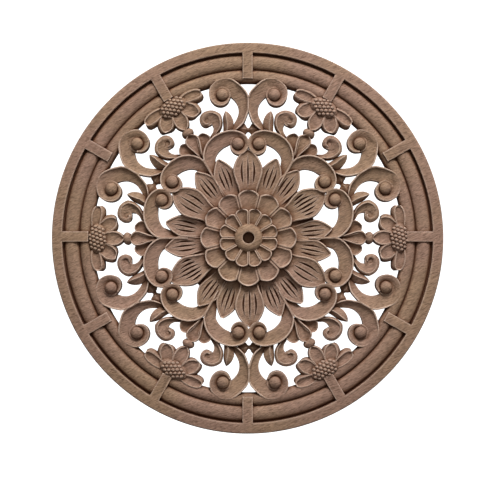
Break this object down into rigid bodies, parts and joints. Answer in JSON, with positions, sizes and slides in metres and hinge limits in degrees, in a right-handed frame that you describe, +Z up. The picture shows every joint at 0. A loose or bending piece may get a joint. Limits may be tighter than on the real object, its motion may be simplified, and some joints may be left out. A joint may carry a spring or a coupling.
{
  "type": "round pierced wood applique",
  "caption": "Round pierced wood rosette with a strapped moulded rim, scrollwork, sunflowers and a layered flower in the middle.",
  "frame": {"origin": "middle of the flat back face", "axes": "+Z up as hung, +X to the right seen from the front, the carved face looks along -Y and the flat back lies in the plane Y = 0"},
  "size_m": [0.4, 0.02, 0.4],
  "materials": {
    "carved_wood": "bare carved hardwood, sanded, unfinished, with fine pores and a slanting grain"
  },
  "bodies": {
    "root": {"carved_rosette": "carved_wood"}
  },
  "joints": []
}
